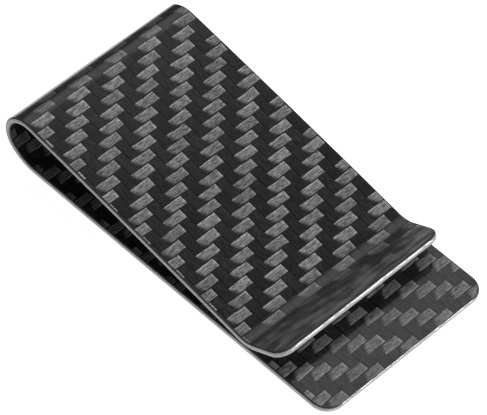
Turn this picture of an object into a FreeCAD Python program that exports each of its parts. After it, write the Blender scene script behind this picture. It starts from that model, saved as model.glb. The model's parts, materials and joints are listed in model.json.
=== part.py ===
import FreeCAD, Part
import math
import os

# Money clip moulded in one piece from woven carbon-fibre plies.
#
# Frame: millimetres, +X towards the free end of the back plate, +Y across the width, +Z up.
# The underside of the back plate lies on z = 0, and x = 0 is half way along the clip.
#
# The laminate follows one mid-surface line, drawn from the free end of the back plate, round
# the teardrop loop, down the leaf that grips the notes, through the valley where it meets the
# plate, to the end of the turned-up lip. Every ply is a strip of constant thickness beside it.

# ---- driving dimensions ----
WIDTH = 33.0                 # across the weave, along Y
TOTAL_LENGTH = 66.0          # from the back of the loop to the free end of the plate
PLY_NAMES = ["outer_twill", "outer_core", "inner_core", "inner_twill"]
PLY_THICKNESS = 0.25
LOWER_BEND_RADIUS = 7.0      # loop, where it leaves the plate
LOWER_BEND_DEG = 38.0
UPPER_BEND_RADIUS = 4.0      # loop, tighter bend round its back and top
LEAF_SLOPE_DEG = 11.0        # the leaf comes down at about this angle, then settles on the plate
LEAF_LENGTH = 43.8
LEAF_BOW_DEG = 2.0           # the leaf is slightly domed over its whole length
VALLEY_RADIUS = 4.6
LIP_ANGLE_DEG = 28.8
LIP_LENGTH = 6.0             # straight part of the lip
LIP_CORNER_RADIUS = 2.4
PLATE_CORNER_RADIUS = 3.0
CONTACT_GAP = 0.03           # leaf to plate at rest, so that the two solids only just clear
FLEX_GAP = 0.04              # slit between two flexing zones
LEAF_SPLIT = 0.45            # the leaf flexes about this fraction of its length

THICKNESS = PLY_THICKNESS * len(PLY_NAMES)
HALF_WIDTH = WIDTH / 2.0


class Run:
    """One stretch of the mid-surface line: straight if its turn is 0, else an arc.

    turn is the change of heading in radians, positive to the left.
    """

    def __init__(self, x, z, heading, length, turn):
        self.x = x
        self.z = z
        self.heading = heading
        self.length = length
        self.turn = turn

    def at(self, s):
        """Position and heading a distance s along the run."""
        if abs(self.turn) < 1e-9:
            x = self.x + s * math.cos(self.heading)
            z = self.z + s * math.sin(self.heading)
            return x, z, self.heading
        radius = self.length / self.turn
        centre_x = self.x - radius * math.sin(self.heading)
        centre_z = self.z + radius * math.cos(self.heading)
        heading = self.heading + self.turn * s / self.length
        return centre_x + radius * math.sin(heading), centre_z - radius * math.cos(heading), heading

    def offset_point(self, s, offset):
        """Point beside the line, offset to the left of the heading (the outer face)."""
        x, z, heading = self.at(s)
        return FreeCAD.Vector(x - offset * math.sin(heading), 0, z + offset * math.cos(heading))

    def edge(self, start, end, offset):
        """Edge of the offset line between two distances along the run."""
        a = self.offset_point(start, offset)
        b = self.offset_point(end, offset)
        if abs(self.turn) < 1e-9:
            return Part.LineSegment(a, b).toShape()
        middle = self.offset_point((start + end) / 2.0, offset)
        return Part.Arc(a, middle, b).toShape()


def chain(shapes, x, z, heading):
    """Runs joined end to end. Each shape is (length, turn in radians)."""
    runs = []
    for length, turn in shapes:
        run = Run(x, z, heading, length, turn)
        runs.append(run)
        x, z, heading = run.at(length)
    return runs


def laminate_line(leaf_slope):
    """The runs of the mid-surface line for a given slope of the leaf."""
    lower_turn = math.radians(LOWER_BEND_DEG)
    bow = math.radians(LEAF_BOW_DEG)
    upper_turn = math.pi + leaf_slope - lower_turn - bow
    valley_turn = leaf_slope + math.radians(LIP_ANGLE_DEG)
    back = UPPER_BEND_RADIUS + (LOWER_BEND_RADIUS - UPPER_BEND_RADIUS) * math.sin(lower_turn)
    plate_length = TOTAL_LENGTH - back - THICKNESS / 2.0
    shapes = [
        (plate_length, 0.0),
        (LOWER_BEND_RADIUS * lower_turn, -lower_turn),
        (UPPER_BEND_RADIUS * upper_turn, -upper_turn),
        (LEAF_LENGTH, -bow),
        (VALLEY_RADIUS * valley_turn, valley_turn),
        (LIP_LENGTH, 0.0),
    ]
    return chain(shapes, TOTAL_LENGTH / 2.0, THICKNESS / 2.0, math.pi)


def valley_height(runs):
    """Lowest point of the leaf's mid-surface, where the valley turns level."""
    valley = runs[4]
    level = -valley.heading * valley.length / valley.turn
    return valley.at(level)[1]


def settle_leaf():
    """Find the leaf slope at which the valley just clears the plate, by bisection."""
    low = math.radians(LEAF_SLOPE_DEG - 6.0)
    high = math.radians(LEAF_SLOPE_DEG + 6.0)
    target = 1.5 * THICKNESS + CONTACT_GAP
    for _ in range(60):
        middle = (low + high) / 2.0
        if valley_height(laminate_line(middle)) > target:
            low = middle
        else:
            high = middle
    return laminate_line(low)


PLATE, LOWER_BEND, UPPER_BEND, LEAF, VALLEY, LIP = settle_leaf()

# Each zone is a list of (run, start, end) along its mid-surface line. The laminate flexes at
# the slits between zones, so each zone is one rigid body made of all its bonded plies.
LEAF_CUT = LEAF.length * LEAF_SPLIT
ZONES = {
    "back_plate": [(PLATE, 0.0, PLATE.length)],
    "loop_heel": [(LOWER_BEND, 0.0, LOWER_BEND.length)],
    "loop_bend": [(UPPER_BEND, 0.0, UPPER_BEND.length)],
    "leaf_shoulder": [(LEAF, 0.0, LEAF_CUT)],
    "gripping_leaf": [
        (LEAF, LEAF_CUT, LEAF.length),
        (VALLEY, 0.0, VALLEY.length),
        (LIP, 0.0, LIP.length),
    ],
}


def trim_for_flex(spans, first, last):
    """Shorten a zone by half a slit at each end that meets another zone."""
    spans = [list(span) for span in spans]
    if not first:
        spans[0][1] += FLEX_GAP / 2.0
    if not last:
        spans[-1][2] -= FLEX_GAP / 2.0
    return spans


def strip(spans, outer, inner):
    """Solid strip of laminate between two offsets from the mid-surface line."""
    edges = [run.edge(start, end, outer) for run, start, end in spans]
    edges += [run.edge(end, start, inner) for run, start, end in reversed(spans)]
    first_run, first_start, _ = spans[0]
    last_run, _, last_end = spans[-1]
    edges.append(Part.LineSegment(first_run.offset_point(first_start, outer),
                                  first_run.offset_point(first_start, inner)).toShape())
    edges.append(Part.LineSegment(last_run.offset_point(last_end, outer),
                                  last_run.offset_point(last_end, inner)).toShape())
    outline = Part.Wire(Part.__sortEdges__(edges))
    face = Part.Face(outline)
    solid = face.extrude(FreeCAD.Vector(0, WIDTH, 0))
    solid.translate(FreeCAD.Vector(0, -HALF_WIDTH, 0))
    return solid


def round_corners(solid, run, s, radius):
    """Round the two corners of the free end that lies a distance s along the run."""
    tip = run.offset_point(s, 0.0)
    through = run.offset_point(s, 1.0) - tip
    corners = []
    for edge in solid.Edges:
        if len(edge.Vertexes) != 2:
            continue
        start, end = [vertex.Point for vertex in edge.Vertexes]
        middle = (start + end) * 0.5
        depth = (middle - tip).dot(through)
        along = middle - tip - through * depth
        along.y = 0.0
        at_tip = along.Length < 1e-6 and abs(depth) < THICKNESS
        at_side = abs(abs(middle.y) - HALF_WIDTH) < 1e-6
        through_ply = abs(abs((end - start).normalize().dot(through)) - 1.0) < 1e-6
        if at_tip and at_side and through_ply:
            corners.append(edge)
    if len(corners) != 2:
        raise RuntimeError("expected two corner edges, found %d" % len(corners))
    return solid.makeFillet(radius, corners)


def build_ply(zone, index):
    """One ply of one zone. Ply 0 is the face on the outside of the clip."""
    zone_names = list(ZONES)
    place = zone_names.index(zone)
    spans = trim_for_flex(ZONES[zone], place == 0, place == len(zone_names) - 1)
    outer = THICKNESS / 2.0 - index * PLY_THICKNESS
    solid = strip(spans, outer, outer - PLY_THICKNESS)
    if zone == "back_plate":
        solid = round_corners(solid, PLATE, 0.0, PLATE_CORNER_RADIUS)
    if zone == "gripping_leaf":
        solid = round_corners(solid, LIP, LIP.length, LIP_CORNER_RADIUS)
    return solid


os.makedirs("parts", exist_ok=True)
total = 0.0
for zone in ZONES:
    for index, ply in enumerate(PLY_NAMES):
        solid = build_ply(zone, index)
        name = "%s_%s_ply" % (zone, ply)
        if not solid.isValid() or len(solid.Solids) != 1:
            raise RuntimeError("%s is not one valid solid" % name)
        total += solid.Volume
        solid.exportStep("parts/%s.step" % name)
        box = solid.BoundBox
        print("%-36s x %7.2f %7.2f  z %6.2f %6.2f  volume %8.2f"
              % (name, box.XMin, box.XMax, box.ZMin, box.ZMax, solid.Volume))
print("laminate volume %.1f mm3" % total)

# Pivots of the flexing joints, on the mid-surface line at each slit.
for zone in list(ZONES)[1:]:
    run, start, _ = ZONES[zone][0]
    x, z, heading = run.at(start)
    print("pivot of %-14s x %9.5f z %8.5f" % (zone, x, z))

# Stations along the line, for reading the shape: slope of the leaf, valley, lip and loop height.
for label, run in (("leaf", LEAF), ("valley", VALLEY), ("lip", LIP)):
    x, z, heading = run.at(run.length)
    print("end of %-8s x %9.5f z %8.5f slope %8.3f deg" % (label, x, z, math.degrees(heading)))
print("valley lowest point x %.4f" % VALLEY.at(-VALLEY.heading * VALLEY.length / VALLEY.turn)[0])
stations = [UPPER_BEND.length * i / 100.0 for i in range(101)]
loop_top = max(UPPER_BEND.offset_point(s, THICKNESS / 2.0).z for s in stations)
print("loop top z %.3f" % loop_top)
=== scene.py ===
# %% Open the packed clip
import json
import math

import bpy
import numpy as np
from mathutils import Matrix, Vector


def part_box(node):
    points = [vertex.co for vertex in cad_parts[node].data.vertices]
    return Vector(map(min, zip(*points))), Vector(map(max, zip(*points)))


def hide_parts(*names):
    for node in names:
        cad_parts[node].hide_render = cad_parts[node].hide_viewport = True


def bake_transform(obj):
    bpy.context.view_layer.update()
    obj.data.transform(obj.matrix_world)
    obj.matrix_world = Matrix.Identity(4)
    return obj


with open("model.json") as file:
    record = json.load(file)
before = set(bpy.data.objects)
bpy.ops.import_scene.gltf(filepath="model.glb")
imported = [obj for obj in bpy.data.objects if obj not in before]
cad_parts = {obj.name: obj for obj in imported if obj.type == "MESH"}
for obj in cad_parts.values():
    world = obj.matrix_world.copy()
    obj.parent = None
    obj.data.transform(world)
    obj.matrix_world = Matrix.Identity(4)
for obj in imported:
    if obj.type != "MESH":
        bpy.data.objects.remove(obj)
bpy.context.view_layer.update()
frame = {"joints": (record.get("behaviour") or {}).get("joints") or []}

# %% [markdown]
# # A money clip in woven carbon fibre
# The real clip is a stack of carbon plies, cured in a mould into one springy sheet. It lies on a flat plate,
# turns back through a teardrop loop, and comes down as a leaf whose lip is turned up to let the notes in.
# Nothing on it is screwed or hinged. The mechanism is the sheet's own bending, so every piece made here is a
# strip of one ply, and each strip lies between two of the bodies of the mechanism.

PLIES = ["outer_twill", "outer_core", "inner_core", "inner_twill"]
plate_boxes = [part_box(f"back_plate_{ply}_ply") for ply in PLIES]
WIDTH = plate_boxes[0][1].y - plate_boxes[0][0].y
PLY = plate_boxes[0][1].z - plate_boxes[0][0].z
THICKNESS = PLY * len(PLIES)
PLATE_END = plate_boxes[0][1].x
print(f"{len(PLIES)} plies of {PLY * 1000:.2f} mm, {WIDTH * 1000:.1f} mm wide")

# %% [markdown]
# ## The line the sheet follows
# Seen from the side the clip is one line, made of straight runs and arcs that meet without a kink. A spline
# through the CAD would wander a little off the arcs, and glossy reflections would show it, so the line is made
# of exact arcs. Each arc leaves one flexing joint along the line so far and ends at the next joint.


# %% A run of the line
class Run:
    """A straight run, or an arc if it turns. Turning to the left is positive."""

    def __init__(self, x, z, heading, length, turn=0.0):
        self.x, self.z, self.heading = x, z, heading
        self.length, self.turn = length, turn

    def at(self, s):
        """Place and heading a distance s along the run."""
        if abs(self.turn) < 1e-9:
            return self.x + s * math.cos(self.heading), self.z + s * math.sin(self.heading), self.heading
        radius = self.length / self.turn
        heading = self.heading + self.turn * s / self.length
        x = self.x + radius * (math.sin(heading) - math.sin(self.heading))
        z = self.z - radius * (math.cos(heading) - math.cos(self.heading))
        return x, z, heading


def arc_to(start, end):
    """The arc that leaves start = (x, z, heading) along its heading and ends at end = (x, z)."""
    x, z, heading = start
    chord = math.hypot(end[0] - x, end[1] - z)
    direction = math.atan2(end[1] - z, end[0] - x)
    turn = 2 * math.remainder(direction - heading, 2 * math.pi)
    return Run(x, z, heading, chord * (turn / 2) / math.sin(turn / 2), turn)


quarter = arc_to((0.0, 0.0, 0.0), (0.010, 0.010))
print(f"a quarter circle of 10 mm radius is {quarter.length * 1000:.2f} mm long")

# %% The whole line, from the plate's free end to the lip
pivot = {j["name"]: (j["pos_m"][0], j["pos_m"][2]) for j in frame["joints"]}
LEAF_SPLIT = 0.45          # the leaf flexes at this share of its length
VALLEY_RADIUS = 0.0046
LIP_ANGLE = math.radians(28.8)

plate = Run(PLATE_END, THICKNESS / 2, math.pi, PLATE_END - pivot["heel_flex"][0])
heel = arc_to(plate.at(plate.length), pivot["loop_flex"])
loop = arc_to(heel.at(heel.length), pivot["leaf_root_flex"])
rear_leaf = arc_to(loop.at(loop.length), pivot["leaf_mid_flex"])
rest_of_leaf = (1 - LEAF_SPLIT) / LEAF_SPLIT
leaf_middle = rear_leaf.at(rear_leaf.length)
front_leaf = Run(*leaf_middle, rear_leaf.length * rest_of_leaf, rear_leaf.turn * rest_of_leaf)
leaf_end = front_leaf.at(front_leaf.length)
valley_turn = LIP_ANGLE - math.remainder(leaf_end[2], 2 * math.pi)
valley = Run(*leaf_end, VALLEY_RADIUS * valley_turn, valley_turn)
valley_end = valley.at(valley.length)
lip_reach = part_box("gripping_leaf_inner_twill_ply")[1].x - valley_end[0]
lip = Run(*valley_end, (lip_reach - THICKNESS / 2 * math.sin(LIP_ANGLE)) / math.cos(LIP_ANGLE))

RUNS = [plate, heel, loop, rear_leaf, front_leaf, valley, lip]
STARTS = np.concatenate([[0.0], np.cumsum([run.length for run in RUNS])])
HEEL_START, LOOP_START, LEAF_START, LEAF_MIDDLE = STARTS[1:5]
LINE_END = STARTS[-1]
lip_corner = lip.at(lip.length)
print(f"line {LINE_END * 1000:.2f} mm, lip {lip.length * 1000:.2f} mm long")
print(f"lip's top edge is {(lip_corner[1] + THICKNESS / 2 * math.cos(LIP_ANGLE)) * 1000:.3f} mm up")

# %% [markdown]
# ## Cloth lengths
# The weave is cloth laid on the mould, so its tows keep their width round a bend. A point's place in the cloth
# is its distance across the clip, its distance along the ply's own face, which is longer outside a bend and
# shorter inside it, and its depth below the outside of the clip.


# %% Place and cloth length at a distance along the line
def run_at(s):
    """The run that holds the distance s, and how far along that run it is."""
    index = min(int(np.searchsorted(STARTS, s + 1e-12, side="right")) - 1, len(RUNS) - 1)
    return RUNS[index], s - STARTS[index]


def place(s):
    """Place and heading (x, z, heading) at a distance s along the whole line."""
    run, along = run_at(s)
    return run.at(along)


def cloth_length(s, offset):
    """Length of the face that lies offset outside the line, from the plate's end to s."""
    return sum(
        (min(s, STARTS[i + 1]) - STARTS[i]) * (1 - offset * run.turn / run.length)
        for i, run in enumerate(RUNS)
        if s > STARTS[i]
    )


print(f"outer face {cloth_length(LINE_END, THICKNESS / 2) * 1000:.2f} mm long,",
      f"inner face {cloth_length(LINE_END, -THICKNESS / 2) * 1000:.2f} mm")

# %% [markdown]
# ## The outline of a strip
# The strip is 33 mm wide with rounded corners at its two free ends. A row runs straight across the strip. Each
# row keeps the direction in which the outline faces at its ends, so that the same row can be drawn a little
# inside the outline, where the top face stops and the edge starts to round over.

# %% Rows of a strip between two distances along the line
PLATE_CORNER = 0.0030
LIP_CORNER = 0.0024
CORNER_STEPS = 10
ROW_STEP = 0.001
ROW_TURN = math.radians(1.5)


def corner_rows(end, radius, direction):
    """Rows round the corners of a free end. Each row is (s, half width, facing along, facing across)."""
    rows = []
    for step in range(CORNER_STEPS + 1):
        angle = math.pi / 2 * step / CORNER_STEPS
        s = end - direction * radius * (1 - math.sin(angle))
        half = WIDTH / 2 - radius * (1 - math.cos(angle))
        rows.append((s, half, direction * math.sin(angle), math.cos(angle)))
    return rows


def spacing(run):
    """Distance between rows: one degree and a half round a bend, one millimetre where it is nearly flat."""
    if abs(run.turn) < 1e-9:
        return ROW_STEP
    return min(ROW_STEP, abs(run.length / run.turn) * ROW_TURN)


def strip_rows(start, end):
    """All the rows of a strip, with rounded corners where it has a free end."""
    rows = []
    low, high = start, end
    if start <= 0:
        rows += corner_rows(0.0, PLATE_CORNER, -1)[::-1]
        low = PLATE_CORNER
    if end >= LINE_END:
        high = LINE_END - LIP_CORNER
    marks = [low] + [mark for mark in STARTS if low < mark < high] + [high]
    for a, b in zip(marks[:-1], marks[1:]):
        count = max(1, math.ceil((b - a) / spacing(run_at((a + b) / 2)[0])))
        rows += [(a + (b - a) * i / count, WIDTH / 2, 0.0, 1.0) for i in range(count)]
    if start <= 0:
        rows.pop(CORNER_STEPS + 1)
    if end >= LINE_END:
        return rows + corner_rows(LINE_END, LIP_CORNER, 1)
    return rows + [(high, WIDTH / 2, 0.0, 1.0)]


print(len(strip_rows(0, LINE_END)), "rows from end to end")

# %% [markdown]
# ## The rounded edge
# The cut edge of the sheet is sanded round before the clear coat goes on. Seen end on it is half an ellipse,
# and each ply has its own share of it. The round edge draws the bright and dark lines along the clip, so it is
# in the mesh and isn't faked by a bump.

# %% Profile of the edge of one ply
EDGE_DEPTH = 0.00032       # how far inside the outline the flat face stops
EDGE_STEP = math.radians(10)


def edge_profile(top, bottom):
    """Points (inset, height) down a ply's edge, and how the band between two points faces at each (out, up)."""
    half = THICKNESS / 2
    first, last = (math.asin(max(-1.0, min(1.0, height / half))) for height in (top, bottom))
    count = max(2, round((first - last) / EDGE_STEP))
    angles = [first + (last - first) * k / count for k in range(count + 1)]
    points = [(EDGE_DEPTH * (1 - math.cos(a)), half * math.sin(a)) for a in angles]
    leans = [(math.cos(a) / EDGE_DEPTH, math.sin(a) / half) for a in angles]
    facing = [(out / math.hypot(out, up), up / math.hypot(out, up)) for out, up in leans]
    return points, list(zip(facing[:-1], facing[1:]))


print(len(edge_profile(THICKNESS / 2, THICKNESS / 2 - PLY)[0]), "points down the edge of a face ply")

# %% [markdown]
# ## One closed strip of ply
# The strip has a face on each side, a band of quads down its edge, and a cap at each end that meets another
# strip. It is written point by point, because then neighbouring strips share exactly the same points and the
# exact direction of the surface can be stored at each corner. Reflections then run over the joins unbroken.

# %% A strip, as lists of points and faces
COLUMNS = 28


class Strip:
    """Collects the points, faces and surface directions of one closed strip of ply."""

    def __init__(self, rows, points, facing, free_start, free_end, cloth_offset, cloth_origin):
        self.rows, self.profile, self.facing = rows, points, facing
        self.free_start, self.free_end = free_start, free_end
        self.cloth_offset, self.cloth_origin = cloth_offset, cloth_origin
        self.places, self.cloth = [], []
        self.faces, self.directions, self.slots = [], [], []

    def add_point(self, s, y, height):
        """A point height outside the line, with its cloth place in millimetres. Returns its number."""
        x, z, heading = place(s)
        self.places.append((x - height * math.sin(heading), y, z + height * math.cos(heading)))
        along = cloth_length(s, self.cloth_offset) - self.cloth_origin
        self.cloth.append((y * 1000, along * 1000, (THICKNESS / 2 - height) * 1000))
        return len(self.places) - 1

    def add_face(self, corners, directions, slot):
        """A face, with the direction of the surface at each corner."""
        self.faces.append(corners)
        self.directions.extend(directions)
        self.slots.append(slot)

    def add_grid(self, inset, height):
        """A face of the strip, drawn inset inside its outline. Returns the point numbers by row and column."""
        grid = []
        for s, half, face_along, face_across in self.rows:
            reach = half - inset * face_across
            ys = [reach * (2 * j / COLUMNS - 1) for j in range(COLUMNS + 1)]
            grid.append([self.add_point(s - inset * face_along, y, height) for y in ys])
        return grid

    def border(self):
        """The outline as (row, column, facing along, facing across), left side first."""
        last = len(self.rows) - 1
        ring = [(i, 0, self.rows[i][2], -self.rows[i][3]) for i in range(last + 1)]
        if self.free_end:
            ring += [(last, j, 1.0, 0.0) for j in range(1, COLUMNS)]
        ring += [(i, COLUMNS, self.rows[i][2], self.rows[i][3]) for i in range(last, -1, -1)]
        if self.free_start:
            ring += [(0, j, -1.0, 0.0) for j in range(COLUMNS - 1, 0, -1)]
        return ring


print("a strip has", COLUMNS, "quads across it")


# %% The way the surface faces, and the two faces of a strip
def heading_at(s):
    """Heading of the line, held at its end values beyond its ends."""
    return place(min(max(s, 0.0), LINE_END))[2]


def surface_direction(s, out_along, out_across, out, up):
    """Unit vector that leans out of the outline by out and off the sheet by up."""
    heading = heading_at(s)
    along = Vector((math.cos(heading), 0, math.sin(heading)))
    off = Vector((-math.sin(heading), 0, math.cos(heading)))
    return (out * (out_along * along + Vector((0, out_across, 0))) + up * off).normalized()


def add_sheet(strip, grid, up, slot):
    """The quads of one face. Its directions lean off the sheet, up or down."""
    for i in range(len(grid) - 1):
        first = surface_direction(strip.rows[i][0], 0, 0, 0, up)
        second = surface_direction(strip.rows[i + 1][0], 0, 0, 0, up)
        for j in range(COLUMNS):
            corners = [grid[i][j], grid[i][j + 1], grid[i + 1][j + 1], grid[i + 1][j]]
            directions = [first, first, second, second]
            if up > 0:
                corners.reverse()
                directions.reverse()
            strip.add_face(corners, directions, slot)


print("the flat plate's top faces", [round(x, 3) for x in surface_direction(0.0, 0, 0, 0, -1)])


# %% Bands of quads down the edge of a strip
def is_cut(strip, a, b):
    """True if the step from a to b goes straight across the strip at an end that meets another strip."""
    last = len(strip.rows) - 1
    across = a[1] != b[1] and a[0] == b[0]
    return across and ((a[0] == last and not strip.free_end) or (a[0] == 0 and not strip.free_start))


def add_edge(strip, top_grid, bottom_grid, slot):
    """The bands down the edge, from the top face's border to the bottom face's."""
    border = strip.border()
    closed = strip.free_start and strip.free_end
    rings = [[top_grid[i][j] for i, j, _, _ in border]]
    for inset, height in strip.profile[1:-1]:
        ring = []
        for i, j, _, _ in border:
            s, half, row_along, row_across = strip.rows[i]
            y = (half - inset * row_across) * (2 * j / COLUMNS - 1)
            ring.append(strip.add_point(s - inset * row_along, y, height))
        rings.append(ring)
    rings.append([bottom_grid[i][j] for i, j, _, _ in border])
    gap = None if closed or strip.free_start else len(border) - 1
    for ring_number, (upper_facing, lower_facing) in enumerate(strip.facing):
        upper, lower = rings[ring_number], rings[ring_number + 1]
        for k in range(len(border)):
            n = (k + 1) % len(border)
            a, b = border[k], border[n]
            if k == gap or is_cut(strip, a, b):
                continue
            corners = [upper[k], lower[k], lower[n], upper[n]]
            directions = [
                surface_direction(strip.rows[e[0]][0], e[2], e[3], *facing)
                for e, facing in ((a, upper_facing), (a, lower_facing), (b, lower_facing), (b, upper_facing))
            ]
            strip.add_face(corners, directions, slot)
    return rings, border


# %% Caps where a strip meets the next
def add_cap(strip, rings, border, row, top_grid, bottom_grid, direction, slot):
    """Close the strip at an end that meets another strip."""
    left = next(k for k, e in enumerate(border) if e[0] == row and e[1] == 0)
    right = next(k for k, e in enumerate(border) if e[0] == row and e[1] == COLUMNS)
    corners = list(top_grid[row])
    corners += [ring[right] for ring in rings[1:-1]]
    corners += bottom_grid[row][::-1]
    corners += [ring[left] for ring in rings[-2:0:-1]]
    if direction < 0:
        corners.reverse()
    heading = heading_at(strip.rows[row][0])
    facing = Vector((math.cos(heading), 0, math.sin(heading))) * direction
    strip.add_face(corners, [facing] * len(corners), slot)


face_ply_edge = edge_profile(THICKNESS / 2, THICKNESS / 2 - PLY)[0]
print("a face ply's cap has", 2 * (COLUMNS + 1) + 2 * (len(face_ply_edge) - 2), "corners")

# %% [markdown]
# ## The mesh of a strip
# The cloth place is stored at every point as an attribute, and the weave reads it in the materials. It stays
# with the strip when the strip bends. Blender averages the stored directions wherever the mesh is smooth, so an
# edge whose two faces lean different ways is marked sharp first.


# %% Edges that stay crisp
def mark_corners(mesh, strip):
    """Mark as sharp each edge whose two faces lean different ways, so that their directions aren't averaged."""
    leans = {}
    corner = 0
    for face in strip.faces:
        directions = strip.directions[corner:corner + len(face)]
        corner += len(face)
        for k, point in enumerate(face):
            n = (k + 1) % len(face)
            pair = sorted([(point, directions[k]), (face[n], directions[n])], key=lambda item: item[0])
            leans.setdefault((pair[0][0], pair[1][0]), []).append((pair[0][1], pair[1][1]))
    sharp = []
    for edge in mesh.edges:
        sides = leans[tuple(sorted(edge.vertices))]
        bent = len(sides) != 2 or min(sides[0][0].dot(sides[1][0]), sides[0][1].dot(sides[1][1])) < 0.9999
        sharp.append(bent)
    mesh.edges.foreach_set("use_edge_sharp", sharp)
    return sum(sharp)


# %% Turn a strip into a Blender mesh
FACE_SLOT, EDGE_SLOT = 0, 1


def make_strip(name, start, end, ply_number, materials):
    """One piece: ply ply_number of the sheet between two distances along the line."""
    top = THICKNESS / 2 - ply_number * PLY
    bottom = top - PLY
    points, facing = edge_profile(top, bottom)
    outside = ply_number < 2
    face_height = top if outside else bottom
    origin = cloth_length(LEAF_START if outside else HEEL_START, face_height)
    strip = Strip(strip_rows(start, end), points, facing, start <= 0, end >= LINE_END, face_height, origin)
    top_grid = strip.add_grid(points[0][0], points[0][1])
    bottom_grid = strip.add_grid(points[-1][0], points[-1][1])
    add_sheet(strip, top_grid, 1, FACE_SLOT)
    add_sheet(strip, bottom_grid, -1, FACE_SLOT)
    rings, border = add_edge(strip, top_grid, bottom_grid, EDGE_SLOT)
    if not strip.free_start:
        add_cap(strip, rings, border, 0, top_grid, bottom_grid, -1, EDGE_SLOT)
    if not strip.free_end:
        add_cap(strip, rings, border, len(strip.rows) - 1, top_grid, bottom_grid, 1, EDGE_SLOT)

    mesh = bpy.data.meshes.new(name)
    mesh.from_pydata(strip.places, [], strip.faces)
    for material in materials:
        mesh.materials.append(material)
    mesh.polygons.foreach_set("material_index", strip.slots)
    mesh.polygons.foreach_set("use_smooth", [True] * len(strip.faces))
    cloth = mesh.attributes.new("cloth", "FLOAT_VECTOR", "POINT")
    cloth.data.foreach_set("vector", np.array(strip.cloth, np.float32).ravel())
    crisp = mark_corners(mesh, strip)
    mesh.normals_split_custom_set([tuple(d) for d in strip.directions])
    mesh.update()
    piece = bpy.data.objects.new(name, mesh)
    bpy.context.scene.collection.objects.link(piece)
    print(f"{name}: {len(strip.faces)} faces, {crisp} crisp edges")
    return piece


# %% [markdown]
# ## Node helper
# Shader nodes are easier to read as short sentences. A bench adds nodes to one tree and links what it is given:
# a number is set on the socket, and the output of another node is linked to it.


# %% A bench for wiring nodes
class Bench:
    """Adds nodes to one tree and links them."""

    def __init__(self, tree):
        self.tree = tree
        tree.nodes.clear()

    def feed(self, socket, value):
        """Link a socket to another, or set it to a number."""
        if isinstance(value, bpy.types.NodeSocket):
            self.tree.links.new(value, socket)
        elif value is not None:
            socket.default_value = value

    def node(self, kind, inputs=None, **settings):
        """A new node with its settings and inputs."""
        made = self.tree.nodes.new(kind)
        for key, value in settings.items():
            setattr(made, key, value)
        for key, value in (inputs or {}).items():
            self.feed(made.inputs[key], value)
        return made

    def sum(self, operation, *values):
        """One step of arithmetic on numbers or sockets."""
        made = self.node("ShaderNodeMath", operation=operation)
        for socket, value in zip(made.inputs, values):
            self.feed(socket, value)
        return made.outputs[0]

    def mix(self, share, a, b):
        """A number between a and b."""
        made = self.node("ShaderNodeMix", {0: share, 2: a, 3: b})
        return made.outputs[0]

    def ramp(self, value, low, high, to_low=0.0, to_high=1.0):
        """Smooth step from to_low to to_high as value goes from low to high."""
        made = self.node("ShaderNodeMapRange", interpolation_type="SMOOTHSTEP")
        for socket, number in zip(made.inputs, (value, low, high, to_low, to_high)):
            self.feed(socket, number)
        return made.outputs[0]

    def vector(self, x, y, z=0.0):
        return self.node("ShaderNodeCombineXYZ", {0: x, 1: y, 2: z}).outputs[0]

    def parts(self, vector):
        return self.node("ShaderNodeSeparateXYZ", {0: vector}).outputs


def new_group(name, inputs, outputs):
    """An empty shader node group with named sockets, and a bench to fill it."""
    tree = bpy.data.node_groups.new(name, "ShaderNodeTree")
    for in_out, sockets in (("INPUT", inputs), ("OUTPUT", outputs)):
        for socket_name, kind, value in sockets:
            socket = tree.interface.new_socket(socket_name, in_out=in_out, socket_type=f"NodeSocket{kind}")
            if value is not None:
                socket.default_value = value
    bench = Bench(tree)
    return tree, bench, bench.node("NodeGroupInput").outputs, bench.node("NodeGroupOutput").inputs


print("the bench has", ", ".join(name for name in vars(Bench) if not name.startswith("_")))

# %% [markdown]
# ## Two-by-two twill
# In this cloth each tow passes over two tows and then under two, and every row starts one tow further on, which
# draws the diagonal ribs. So the tow on top follows from whole numbers: count the tows across and along, add
# the two counts, and take the remainder after four. Remainders 0 and 1 show a tow that runs across the clip,
# and 2 and 3 show one that runs along it. An image could hold the pattern too, but sums stay sharp at any size.

# %% Node group: which tow is on top, and where on it
SWAY = 0.25                # how far a tow wanders from its row, in tow widths

twill, b, given, out = new_group(
    "Two-by-two twill",
    [
        ("Cloth", "Vector", None),
        ("Tow Across", "Float", 1.78),
        ("Tow Along", "Float", 1.72),
        ("Shift Across", "Float", 0.0),
        ("Shift Along", "Float", 0.0),
    ],
    [
        ("Cross Tow", "Float", None),
        ("Length", "Float", None),
        ("Breadth", "Float", None),
        ("Chance", "Float", None),
        ("Height", "Float", None),
    ],
)
across, along, _ = b.parts(given["Cloth"])
sway_settings = {"Vector": given["Cloth"], "Scale": 0.16, "Detail": 1.0}
sway = b.node("ShaderNodeTexNoise", sway_settings, noise_dimensions="2D")
sway_across, sway_along, _ = b.parts(sway.outputs["Color"])
u = b.sum("ADD", b.sum("DIVIDE", across, given["Tow Across"]), given["Shift Across"])
u = b.sum("ADD", u, b.sum("MULTIPLY", b.sum("SUBTRACT", sway_across, 0.5), SWAY))
v = b.sum("ADD", b.sum("DIVIDE", along, given["Tow Along"]), given["Shift Along"])
v = b.sum("ADD", v, b.sum("MULTIPLY", b.sum("SUBTRACT", sway_along, 0.5), SWAY))
count_u, count_v = b.sum("FLOOR", u), b.sum("FLOOR", v)
part_u, part_v = b.sum("FRACT", u), b.sum("FRACT", v)
counted = b.sum("ADD", count_u, count_v)
remainder = b.sum("FLOORED_MODULO", counted, 4.0)
is_along = b.sum("GREATER_THAN", remainder, 1.5)
half = b.sum("SUBTRACT", remainder, b.sum("MULTIPLY", is_along, 2.0))
length = b.sum("MULTIPLY", b.sum("ADD", half, b.mix(is_along, part_u, part_v)), 0.5)
breadth = b.mix(is_along, part_v, part_u)
block = b.sum("FLOOR", b.sum("DIVIDE", counted, 4.0))
own_count = b.mix(is_along, count_v, count_u)
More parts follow.
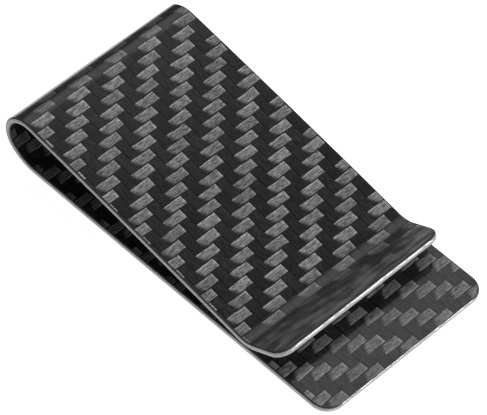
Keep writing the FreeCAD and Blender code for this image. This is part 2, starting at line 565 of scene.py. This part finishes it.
own_tow = b.vector(block, own_count, is_along)
chance = b.node("ShaderNodeTexWhiteNoise", {"Vector": own_tow}, noise_dimensions="3D")
from_middle = b.sum("ABSOLUTE", b.sum("SUBTRACT", b.sum("MULTIPLY", length, 2.0), 1.0))
from_centre = b.sum("ABSOLUTE", b.sum("SUBTRACT", b.sum("MULTIPLY", breadth, 2.0), 1.0))
dive = b.sum("SUBTRACT", 1.0, b.sum("POWER", from_middle, 3.0))
crown = b.sum("SUBTRACT", 1.0, b.sum("POWER", from_centre, 4.0))
b.feed(out["Cross Tow"], b.sum("SUBTRACT", 1.0, is_along))
b.feed(out["Length"], length)
b.feed(out["Breadth"], breadth)
b.feed(out["Chance"], chance.outputs["Value"])
b.feed(out["Height"], b.sum("MULTIPLY", dive, crown))
print("twill group:", len(twill.nodes), "nodes")

# %% [markdown]
# ## Fibre streaks
# A tow is about three thousand fibres side by side, so it shows fine lines along its own length. Noise that is
# squeezed across the tow and stretched along it gives them. Both directions are made and the one that matches
# the tow on top is kept.

# %% Node group: fine lines along each tow
streaks, b, given, out = new_group(
    "Fibre streaks",
    [("Cloth", "Vector", None), ("Cross Tow", "Float", 0.0), ("Chance", "Float", 0.0)],
    [("Streak", "Float", None), ("Painted Glint", "Float", None)],
)
across, along, _ = b.parts(given["Cloth"])
shift = b.sum("MULTIPLY", given["Chance"], 40.0)


def stretched_noise(across_scale, along_scale, detail):
    """Noise with its own scale each way, shifted tow by tow."""
    noise_across = b.sum("MULTIPLY", across, across_scale)
    noise_along = b.sum("MULTIPLY", along, along_scale)
    place_in_noise = b.vector(noise_across, noise_along, shift)
    noise = b.node("ShaderNodeTexNoise", {"Vector": place_in_noise, "Scale": 1.0, "Detail": detail})
    return noise.outputs["Fac"]


fine = b.mix(given["Cross Tow"], stretched_noise(6.0, 1.0, 2.0), stretched_noise(1.0, 6.0, 2.0))
mottle = stretched_noise(4.5, 4.5, 1.0)
b.feed(out["Streak"], b.mix(0.35, fine, mottle))
# The brightest fibre lines are put out as painted glints, small painted highlights.
b.feed(out["Painted Glint"], b.ramp(fine, 0.70, 0.76))
print("streak group:", len(streaks.nodes), "nodes")

# %% [markdown]
# ## Woven carbon under clear coat
# Black fibres reflect like dark metal, in a broad soft shine, and the clear coat above adds a sharp one. So the
# shader is partly metallic and fairly rough, with a full smooth coat. The tows that run across the clip shine
# towards the front and the others look nearly black. That shine is painted sheen, a pale base colour on the
# cross tows that stays the same from every side. The bump follows the tows over and under each other; the
# coat's own normal is left unlinked, so the coat stays flat like the real lacquer.

# %% Node group of the woven face: its sockets and the two groups inside it
woven, b, given, out = new_group(
    "Woven carbon",
    [
        ("Cloth", "Vector", None),
        ("Shift Across", "Float", 0.0),
        ("Shift Along", "Float", 0.0),
        # the pale tone of the cross tows is painted sheen
        ("Bright", "Float", 0.25),
        ("Dark", "Float", 0.02),
        ("Weave Starts", "Float", -1000.0),
        ("Loop Shade Length", "Float", 0.0),
        ("Weave Ends", "Float", 1000.0),
    ],
    [("Color", "Color", None), ("Roughness", "Float", None), ("Height", "Float", None)],
)
weave = b.node("ShaderNodeGroup", node_tree=twill)
for name in ("Cloth", "Shift Across", "Shift Along"):
    b.feed(weave.inputs[name], given[name])
cross, tow_length, tow_breadth, tow_chance, tow_height = weave.outputs
fibres = b.node("ShaderNodeGroup", node_tree=streaks)
for name, value in (("Cloth", given["Cloth"]), ("Cross Tow", cross), ("Chance", tow_chance)):
    b.feed(fibres.inputs[name], value)
streak, painted_glint = fibres.outputs
print("the woven face takes", [item.name for item in woven.interface.items_tree if item.in_out == "INPUT"])

# %% [markdown]
# ## Painted light and shade on a tow
# A tow that runs across the clip dips under its neighbour at its near end, most of all along its far side, and
# painted shade darkens it there. Its near side and far end stand proud and get a painted highlight along their
# rim. The seams between the tows are painted near black, a painted shade in the gaps.

# %% Tone of the tows, with painted shade and highlights
# The dark end of a cross tow is painted shade, and SLANT is how far it reaches along the far side.
SLANT = 0.28               # how much further the dark end reaches along the tow's far side
# how near black the painted shade in the seams goes
SEAM_PAINTED_SHADE = 0.95

# Painted shade at the near end of a cross tow, and painted highlights along its near side and far end.
painted_shade_slant = b.sum("SUBTRACT", tow_length, b.sum("MULTIPLY", tow_breadth, SLANT))
painted_lit_share = b.ramp(painted_shade_slant, -0.14, 0.12, 0.12, 1.0)
rim = b.ramp(tow_breadth, 0.20, 0.06, 0.0, 0.6)
end_rim = b.ramp(tow_length, 0.84, 0.92, 0.0, 0.5)
painted_sheen = b.sum("MULTIPLY", painted_lit_share, b.sum("ADD", 1.0, b.sum("MAXIMUM", rim, end_rim)))
painted_sheen = b.sum("MULTIPLY", b.sum("MULTIPLY", painted_sheen, given["Bright"]), b.mix(tow_chance, 0.82, 1.18))
dark = b.sum("MULTIPLY", given["Dark"], b.mix(tow_chance, 0.75, 1.35))
# Painted glints lighten the dark tows here and there.
dark = b.sum("ADD", dark, b.sum("MULTIPLY", painted_glint, 0.03))
tone = b.mix(cross, dark, painted_sheen)
tone = b.sum("MULTIPLY", tone, b.ramp(streak, 0.36, 0.64, 0.42, 1.58))
# Painted shade in the seams between the tows, drawn near black.
cross_seam_shade = b.sum("MAXIMUM", b.ramp(tow_breadth, 0.83, 0.91), b.ramp(tow_length, 0.965, 0.985))
along_seam_shade = b.sum("MAXIMUM", b.ramp(tow_breadth, 0.10, 0.05), b.ramp(tow_breadth, 0.93, 0.98, 0.0, 0.6))
seam_shade = b.mix(cross, along_seam_shade, cross_seam_shade)
tone = b.sum("MULTIPLY", tone, b.sum("SUBTRACT", 1.0, b.sum("MULTIPLY", seam_shade, SEAM_PAINTED_SHADE)))
print("the tows' tone takes", len(woven.nodes), "nodes so far")

# %% [markdown]
# ## Where the weave ends, under painted shade and glare
# On the lip the cloth hardly shows: the weave gives way to painted shade, for the lip's shadow and the dark it
# reflects, with faint smears of painted glare. The weave sinks away over about four millimetres, tow by tow. On
# the loop the weave is painted half as bright, a painted shade that helps to draw the dark band where the loop
# meets the leaf. The places where these painted shades stop and start are inputs of the group, because the
# inner face has neither.

# %% Painted shade on the loop and the lip, painted glare on the lip, and what the group puts out
# share of its tone that the weave keeps on the loop, a painted shade
LOOP_PAINTED_SHADE = 0.5

across, along, _ = b.parts(given["Cloth"])
after = b.sum("SUBTRACT", along, given["Weave Starts"])
before = b.sum("SUBTRACT", b.sum("MULTIPLY", after, -1.0), given["Loop Shade Length"])
# Painted shade on the loop: the tone is halved there and comes back over five millimetres.
loop_painted_shade = b.ramp(b.sum("MAXIMUM", after, before), 0.0, 5.0, LOOP_PAINTED_SHADE, 1.0)
tone = b.sum("MULTIPLY", tone, loop_painted_shade)
wander = b.node("ShaderNodeTexNoise", {"Vector": b.vector(across, along, 0.0), "Scale": 0.35, "Detail": 3.0})
end_here = b.sum("ADD", given["Weave Ends"], b.sum("MULTIPLY", across, 0.05))
end_here = b.sum("ADD", end_here, b.sum("MULTIPLY", b.sum("SUBTRACT", wander.outputs["Fac"], 0.5), 5.0))
end_here = b.sum("ADD", end_here, b.sum("MULTIPLY", b.sum("SUBTRACT", tow_chance, 0.5), 2.0))
beyond = b.sum("SUBTRACT", along, end_here)
# Past the end of the weave the tone is painted shade with smears of painted glare, and the bump goes flat.
lip_painted_shade = b.ramp(beyond, -2.4, 1.4)
# Smears of painted glare, stretched across the lip.
painted_glare_place = b.vector(b.sum("MULTIPLY", across, 0.22), b.sum("MULTIPLY", along, 0.9), 0.0)
painted_glare = b.node("ShaderNodeTexNoise", {"Vector": painted_glare_place, "Scale": 1.0, "Detail": 4.0}).outputs["Fac"]
painted_glare = b.sum("MULTIPLY", b.ramp(painted_glare, 0.35, 0.65, 0.09, 0.42), b.ramp(beyond, 0.5, 4.0, 0.22, 1.0))
tone = b.mix(lip_painted_shade, tone, painted_glare)
colour = b.node("ShaderNodeCombineColor", {0: tone, 1: tone, 2: b.sum("MULTIPLY", tone, 1.02)})
b.feed(out["Color"], colour.outputs[0])
b.feed(out["Roughness"], b.mix(cross, 0.34, 0.42))
relief = b.sum("ADD", tow_height, b.sum("MULTIPLY", streak, 0.10))
b.feed(out["Height"], b.sum("MULTIPLY", relief, b.sum("SUBTRACT", 1.0, lip_painted_shade)))
print("woven carbon group:", len(woven.nodes), "nodes")


# %% A shader under clear coat
COAT_ROUGHNESS = 0.03
COAT_IOR = 1.5


def cloth_place(bench):
    """The stored place in the cloth, as a vector socket."""
    return bench.node("ShaderNodeAttribute", attribute_name="cloth").outputs["Vector"]


def lacquered(name):
    """A new material with a clear-coated shader, and a bench to wire it."""
    material = bpy.data.materials.new(name)
    material.use_nodes = True
    bench = Bench(material.node_tree)
    shader = bench.node("ShaderNodeBsdfPrincipled")
    shader.inputs["Coat Weight"].default_value = 1.0
    shader.inputs["Coat Roughness"].default_value = COAT_ROUGHNESS
    shader.inputs["Coat IOR"].default_value = COAT_IOR
    surface = bench.node("ShaderNodeOutputMaterial")
    bench.tree.links.new(shader.outputs[0], surface.inputs[0])
    return material, bench, shader


print("the coat's roughness is", COAT_ROUGHNESS, "and its refractive index", COAT_IOR)


# %% Materials of the two woven faces
def woven_face(name, shift_across, shift_along, painted_sheen, dark, weave_starts, weave_ends, loop_shade_length=0.0):
    """A face of the clip. Shifts are in tows, and the last three are millimetres along the cloth."""
    material, bench, shader = lacquered(name)
    face = bench.node("ShaderNodeGroup", node_tree=woven)
    values = {"Cloth": cloth_place(bench), "Shift Across": shift_across, "Shift Along": shift_along,
              "Bright": painted_sheen, "Dark": dark, "Weave Starts": weave_starts, "Weave Ends": weave_ends,
              "Loop Shade Length": loop_shade_length}
    for key, value in values.items():
        bench.feed(face.inputs[key], value)
    shader.inputs["Metallic"].default_value = 0.55
    bump = {"Strength": 0.5, "Distance": 0.00006, "Height": face.outputs["Height"]}
    relief = bench.node("ShaderNodeBump", bump)
    bench.feed(shader.inputs["Base Color"], face.outputs["Color"])
    bench.feed(shader.inputs["Roughness"], face.outputs["Roughness"])
    bench.feed(shader.inputs["Normal"], relief.outputs[0])
    return material


LOOP_CLOTH = (cloth_length(LEAF_START, THICKNESS / 2) - cloth_length(HEEL_START, THICKNESS / 2)) * 1000
# The next number is where the painted shade of the loop stops.
LOOP_SHADE_STOPS = -4.0           # millimetres of cloth from the leaf's root, so on the loop's top
# The next number is where the lip's painted shade and glare take over from the weave.
WEAVE_ENDS = 47.0          # likewise, so close to where the straight part of the lip begins
NO_END = 1000.0

# On each face the pale tone of the cross tows is painted sheen, and the dark tone is the fibres' own.
outer_face = woven_face(
    "outer_twill_face", 0.911, -11.751, 0.28, 0.023, LOOP_SHADE_STOPS, WEAVE_ENDS, LOOP_CLOTH + LOOP_SHADE_STOPS
)
inner_face = woven_face("inner_twill_face", 2.6, 0.6, 0.19, 0.026, -NO_END, NO_END)
print("made", outer_face.name, "and", inner_face.name)
print("the cloth goes", round(LOOP_CLOTH, 1), "mm round the loop")

# %% [markdown]
# ## The trimmed edge
# Where the sheet was cut, the ends of the fibres show as grey layers with a dark line of resin between plies.
# The grey is partly the fibre ends' own and partly painted sheen for the light that the edge catches. The layer
# is read from the depth below the outer face, which is stored with the cloth place. Next to each face the edge
# rounds over, and there it is painted near black, a painted shade for the dark that the rounded rim reflects.
# Sanded fibre ends are dull, so their coat is thin.

# %% Material of the edge and of the core plies
# The grey of the cut fibres is partly their own and partly painted sheen, paler than sanded carbon.
FIBRE_GREY_AND_SHEEN = (0.22, 0.34)  # the darkest and palest grey of the cut fibres
# The next two numbers are the painted shade along the rounded rims: its near black, and the depths where it
# fades.
RIM_PAINTED_SHADE_TONE = 0.02
PAINTED_RIM_SHADE = (0.09, 0.23)         # millimetres below a face where the dark rim fades into the grey

edge_material, b, shader = lacquered("trimmed_edge")
across, along, depth = b.parts(cloth_place(b))
layer = b.sum("FRACT", b.sum("DIVIDE", depth, PLY * 1000))
resin_line = b.sum("MAXIMUM", b.ramp(layer, 0.84, 0.96), b.ramp(layer, 0.16, 0.04))
grain_across, grain_along = b.sum("MULTIPLY", across, 1.3), b.sum("MULTIPLY", along, 1.3)
grain_place = b.vector(grain_across, grain_along, b.sum("MULTIPLY", depth, 14.0))
grain = b.node("ShaderNodeTexNoise", {"Vector": grain_place, "Scale": 1.0, "Detail": 2.0}).outputs["Fac"]
edge_tone = b.sum("MULTIPLY", b.ramp(grain, 0.3, 0.7, *FIBRE_GREY_AND_SHEEN), b.mix(resin_line, 1.0, 0.75))
to_face = b.sum("MINIMUM", depth, b.sum("SUBTRACT", THICKNESS * 1000, depth))
# Painted shade: close to each face, where the edge rounds over, the tone goes near black.
edge_tone = b.mix(b.ramp(to_face, *PAINTED_RIM_SHADE), RIM_PAINTED_SHADE_TONE, edge_tone)
edge_colour = b.node("ShaderNodeCombineColor", {0: edge_tone, 1: edge_tone, 2: edge_tone})
b.feed(shader.inputs["Base Color"], edge_colour.outputs[0])
shader.inputs["Metallic"].default_value = 0.0
shader.inputs["Roughness"].default_value = 0.6
shader.inputs["Coat Weight"].default_value = 0.3
print("made", edge_material.name)

# %% [markdown]
# ## Strips between the bodies
# A strip lies between one body and the next, and the parts of those two bodies from model.glb are hidden. The
# cuts lie in the middle of each rigid zone, half way between two flexing joints, where a strip would follow one
# body alone, so two neighbours would move together there and no gap would open. The two points between which
# each strip would turn are worked out, but no strip is set to bend here.

# %% Cuts between the strips, and the bodies on either side of each
BODIES = ["back_plate", "loop_heel", "loop_bend", "leaf_shoulder", "gripping_leaf"]
STRIPS = ["plate", "lower_bend", "shoulder", "leaf"]
SLITS = [HEEL_START, LOOP_START, LEAF_START, LEAF_MIDDLE]
CUTS = [0.0] + [(a + z) / 2 for a, z in zip(SLITS[:-1], SLITS[1:])] + [LINE_END]
BEND_FROM = [2 * HEEL_START - CUTS[1], CUTS[1], CUTS[2], CUTS[3]]
BEND_TO = [CUTS[1], CUTS[2], CUTS[3], 2 * LEAF_MIDDLE - CUTS[3]]


def line_point(s):
    """The point of the line at a distance s, in the clip's middle plane."""
    x, z, _ = place(s)
    return Vector((x, 0, z))


def bend_span(start, end):
    """The two points between which a strip would turn, moved in so that each cut would follow one body alone.
    """
    first, last = line_point(start), line_point(end)
    direction = (last - first).normalized()
    lean = []
    for s in (start, end):
        off = surface_direction(s, 0, 0, 0, 1)
        lean.append(abs(THICKNESS / 2 * direction.dot(off)))
    return first + direction * lean[0], last - direction * lean[1]


print("cuts at", [round(cut * 1000, 1) for cut in CUTS], "mm")

# %% Make the sixteen strips
pieces = []
for ply_number, ply in enumerate(PLIES):
    face = {0: outer_face, 3: inner_face}.get(ply_number, edge_material)
    for index, strip_name in enumerate(STRIPS):
        name = f"{strip_name}_{ply}"
        piece = make_strip(name, CUTS[index], CUTS[index + 1], ply_number, [face, edge_material])
        bend_start, bend_end = bend_span(BEND_FROM[index], BEND_TO[index])
        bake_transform(piece)
        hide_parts(f"{BODIES[index]}_{ply}_ply", f"{BODIES[index + 1]}_{ply}_ply")
        pieces.append(piece)
print(len(pieces), "strips,", sum(len(piece.data.polygons) for piece in pieces), "faces")

# %% [markdown]
# ## Floor and light
# A glossy black thing shows mostly what it reflects, so the light is planned as reflections. The floor is white
# and shines back up at the cut edges. A few centimetres away from the clip it stops shining on it, as a small
# white table top in a dim room would, and that darkness draws the thin dark outlines of the clip. To the camera
# the floor and the room stay white all over.

# %% Floor
FLOOR_GAP = 0.00002        # keeps the floor just clear of the clip's underside
FLOOR_WHITE = 0.95
FLOOR_GLOW = 0.85
NEAR, FAR = 0.045, 0.075   # the floor stops shining on the clip between these distances from its middle

bpy.ops.mesh.primitive_plane_add(size=3.0, location=(0, 0, -FLOOR_GAP))
floor = bpy.context.object
floor.name = "floor"
floor_material = bpy.data.materials.new("white_floor")
floor_material.use_nodes = True
b = Bench(floor_material.node_tree)
away = b.node("ShaderNodeVectorMath", {0: b.node("ShaderNodeTexCoord").outputs["Object"]}, operation="LENGTH")
seen = b.node("ShaderNodeLightPath").outputs["Is Camera Ray"]
pale = b.sum("MAXIMUM", seen, b.ramp(away.outputs["Value"], NEAR, FAR, 1.0, 0.05))
white = b.sum("MULTIPLY", pale, FLOOR_WHITE)
white = b.node("ShaderNodeCombineColor", {0: white, 1: white, 2: white}).outputs[0]
paint = b.node("ShaderNodeBsdfDiffuse", {"Color": white})
glow = b.node("ShaderNodeEmission", {"Strength": b.sum("MULTIPLY", pale, FLOOR_GLOW)})
both = b.node("ShaderNodeAddShader")
b.tree.links.new(paint.outputs[0], both.inputs[0])
b.tree.links.new(glow.outputs[0], both.inputs[1])
b.tree.links.new(both.outputs[0], b.node("ShaderNodeOutputMaterial").inputs[0])
floor.data.materials.append(floor_material)
print("floor is", floor.dimensions.x, "m across")

# %% [markdown]
# ## Room and lamps
# The room is dim all round, which keeps the black tows black. A small key lamp stands low behind the lip, so
# that the tows across the clip and the lip's end catch it. A lamp low in front lights the near cut edge. The
# open end of the plate mirrors a pale glow. It is painted in the room, because a lamp would show its corners.

# %% Room
ROOM_LOW, ROOM_HIGH, ROOM_GLOW = 0.10, 0.15, 0.68
GLOW_RIM, GLOW_HEART = math.cos(math.radians(27)), math.cos(math.radians(5))


def direction_to(azimuth, elevation):
    """Unit vector from the clip, with azimuth 0 in front of it and 90 at the plate's free end."""
    a, e = math.radians(azimuth), math.radians(elevation)
    return Vector((math.sin(a) * math.cos(e), -math.cos(a) * math.cos(e), math.sin(e)))


world = bpy.data.worlds.new("studio")
bpy.context.scene.world = world
world.use_nodes = True
b = Bench(world.node_tree)
looking = b.node("ShaderNodeTexCoord").outputs["Generated"]
room = b.ramp(b.parts(looking)[2], -0.02, 0.20, ROOM_LOW, ROOM_HIGH)
near_glow = b.node("ShaderNodeVectorMath", {0: looking, 1: direction_to(229, 44)}, operation="DOT_PRODUCT")
glow = b.ramp(near_glow.outputs["Value"], GLOW_RIM, GLOW_HEART, 0.0, ROOM_GLOW)
seen = b.node("ShaderNodeLightPath").outputs["Is Camera Ray"]
strength = b.sum("MAXIMUM", b.sum("ADD", room, glow), seen)
background = b.node("ShaderNodeBackground", {"Color": (1, 1, 1, 1), "Strength": strength})
b.tree.links.new(background.outputs[0], b.node("ShaderNodeOutputWorld").inputs[0])
print("the room is dim, with one soft glow high behind the loop")


# %% Lamps
def softbox(name, azimuth, elevation, distance, size, power):
    """A square area lamp that faces the clip."""
    toward = direction_to(azimuth, elevation)
    lamp = bpy.data.lights.new(name, "AREA")
    lamp.size = size
    lamp.energy = power
    holder = bpy.data.objects.new(name, lamp)
    holder.location = toward * distance
    holder.rotation_mode = "QUATERNION"
    holder.rotation_quaternion = (-toward).to_track_quat("-Z", "Y")
    bpy.context.scene.collection.objects.link(holder)
    print(f"{name} lamp: {power} W, {distance} m away")


softbox("key", azimuth=120, elevation=19, distance=1.5, size=0.16, power=27.0)
softbox("rim", azimuth=8, elevation=4, distance=1.2, size=0.3, power=6.0)

# %% [markdown]
# ## Camera
# A long lens from well above and half way round to the right, so that the leaf, the lip, the near edge and the
# loop's inside all show. The camera is turned slightly about its own axis.

# %% Camera
AZIMUTH, ELEVATION, ROLL = 41.224, 51.209, math.radians(4.915)
TARGET = Vector((0.003347, 0, 0.003))
DISTANCE, TO_LEFT, RAISED = 0.5577, 0.002529, 0.001929
back = direction_to(AZIMUTH, ELEVATION)
level = Vector((math.cos(math.radians(AZIMUTH)), math.sin(math.radians(AZIMUTH)), 0))
upright = back.cross(level)
right = level * math.cos(ROLL) + upright * math.sin(ROLL)
up = upright * math.cos(ROLL) - level * math.sin(ROLL)
camera_data = bpy.data.cameras.new("camera")
camera_data.lens = 287.1
camera_data.sensor_width = 36.0
camera_data.clip_start = 0.05
camera_data.clip_end = 20.0
camera = bpy.data.objects.new("camera", camera_data)
bpy.context.scene.collection.objects.link(camera)
spot = TARGET + back * DISTANCE - right * TO_LEFT + up * RAISED
turned = Matrix((right, up, back)).transposed().to_4x4()
camera.matrix_world = Matrix.Translation(spot) @ turned
bpy.context.scene.camera = camera
bpy.context.scene.view_settings.view_transform = "Standard"
print("camera stands at", [round(x, 4) for x in spot])
